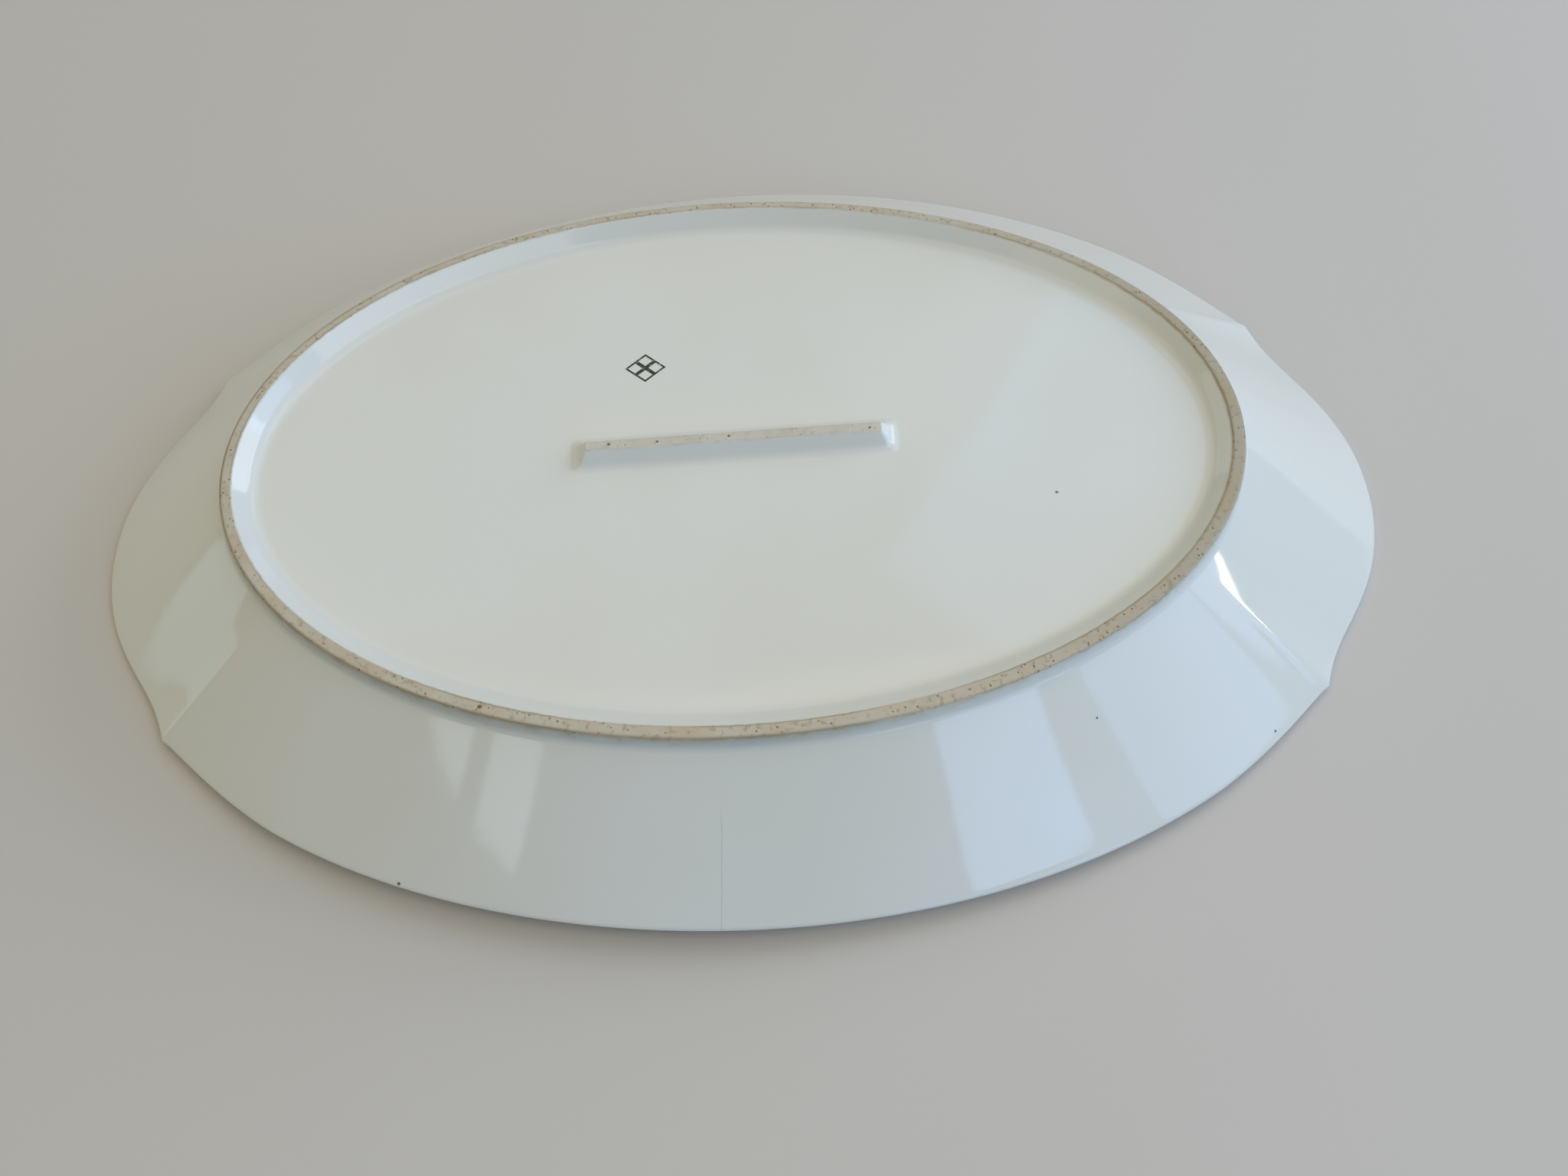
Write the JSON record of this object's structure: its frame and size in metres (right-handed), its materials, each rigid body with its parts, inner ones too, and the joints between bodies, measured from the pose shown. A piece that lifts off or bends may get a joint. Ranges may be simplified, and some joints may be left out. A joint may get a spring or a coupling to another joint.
{
  "type": "oval porcelain serving dish",
  "caption": "Shallow oval porcelain serving dish with flared wall, scalloped end grips, foot ring and central support rib, lying upside down on its rim.",
  "frame": {"origin": "centre of the oval outline, at the height of the lowest point of the rim, on the surface that the dish rests on upside down", "axes": "+X along the long axis towards one end grip, +Y along the short axis, +Z from the rim to the foot ring, so the dish is upside down: its foot faces +Z and its well opens towards -Z. For use it is turned half a turn about X, and then stands on the foot ring"},
  "size_m": [0.3798, 0.2598, 0.0432],
  "materials": {
    "glaze": "gloss",
    "biscuit": "matte, unglazed, stained",
    "print": "underglaze print"
  },
  "bodies": {
    "root": {"well_floor": "glaze", "wall_front": "glaze", "wall_back": "glaze", "grip_left": "glaze", "grip_right": "glaze", "foot_ring": "biscuit", "support_rib": "biscuit", "printed_mark": "print"}
  },
  "joints": []
}
